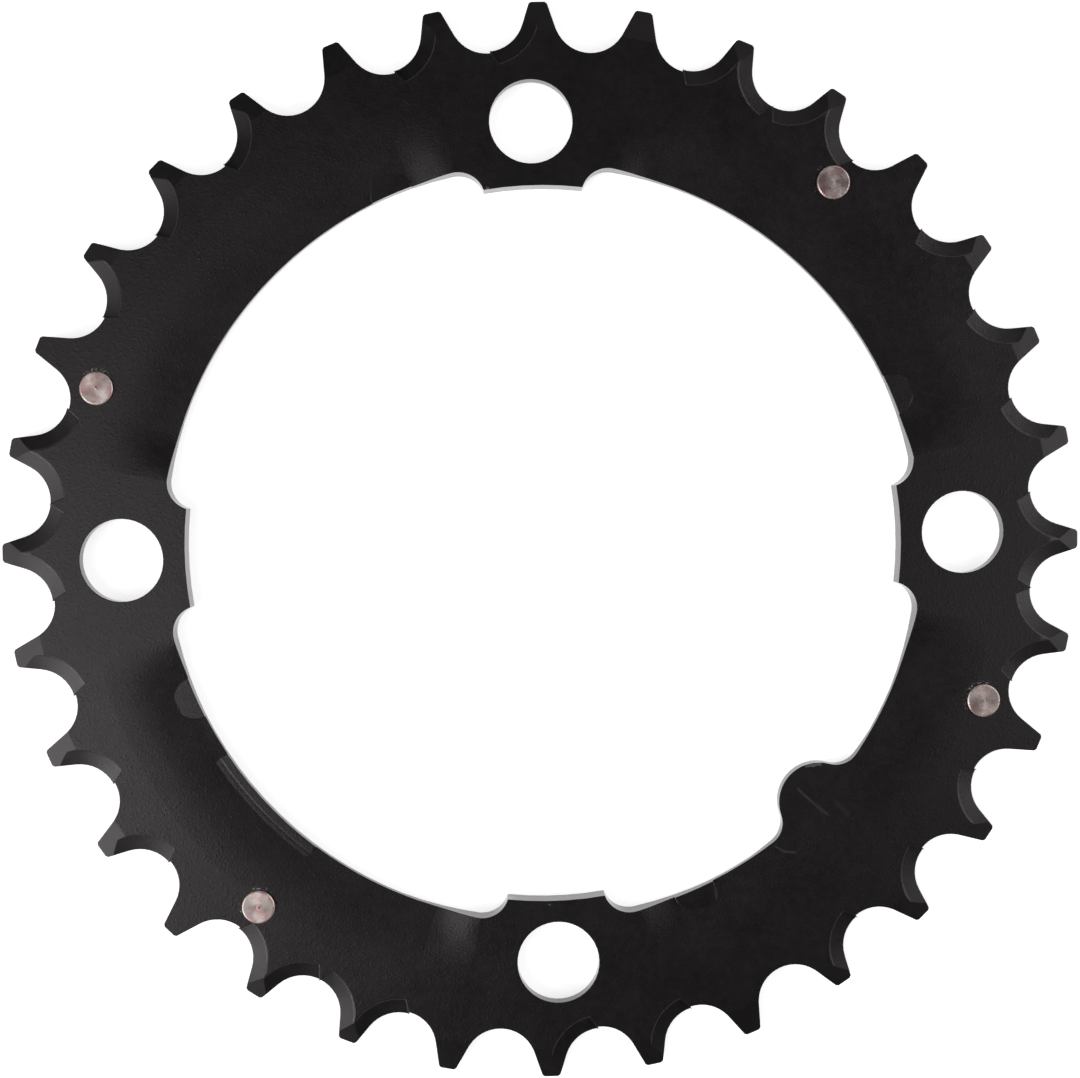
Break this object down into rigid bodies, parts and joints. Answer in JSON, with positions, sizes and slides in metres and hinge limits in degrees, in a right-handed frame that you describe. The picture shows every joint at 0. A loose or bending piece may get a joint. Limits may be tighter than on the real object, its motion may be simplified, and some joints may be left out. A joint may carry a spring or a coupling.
{
  "type": "bicycle chainring",
  "caption": "Black pressed chainring with ramped teeth, inward bolt lobes, a locator tab and riveted shift pins. Bolts to a crank spider and drives the chain.",
  "frame": {"origin": "centre of the bolt circle on the back face, where the ring lies", "axes": "+Z out of the face with the ramps and pin heads, +X through a bolt hole, locator tab midway between +X and -Y"},
  "size_m": [0.1332, 0.1332, 0.0028],
  "materials": {
    "black_coat": "satin black baked coat with a fine grain",
    "pin_metal": "bare turned metal"
  },
  "bodies": {
    "root": {"chainring_plate": "black_coat", "shift_pin_1": "pin_metal", "shift_pin_2": "pin_metal", "shift_pin_3": "pin_metal", "shift_pin_4": "pin_metal"}
  },
  "joints": []
}
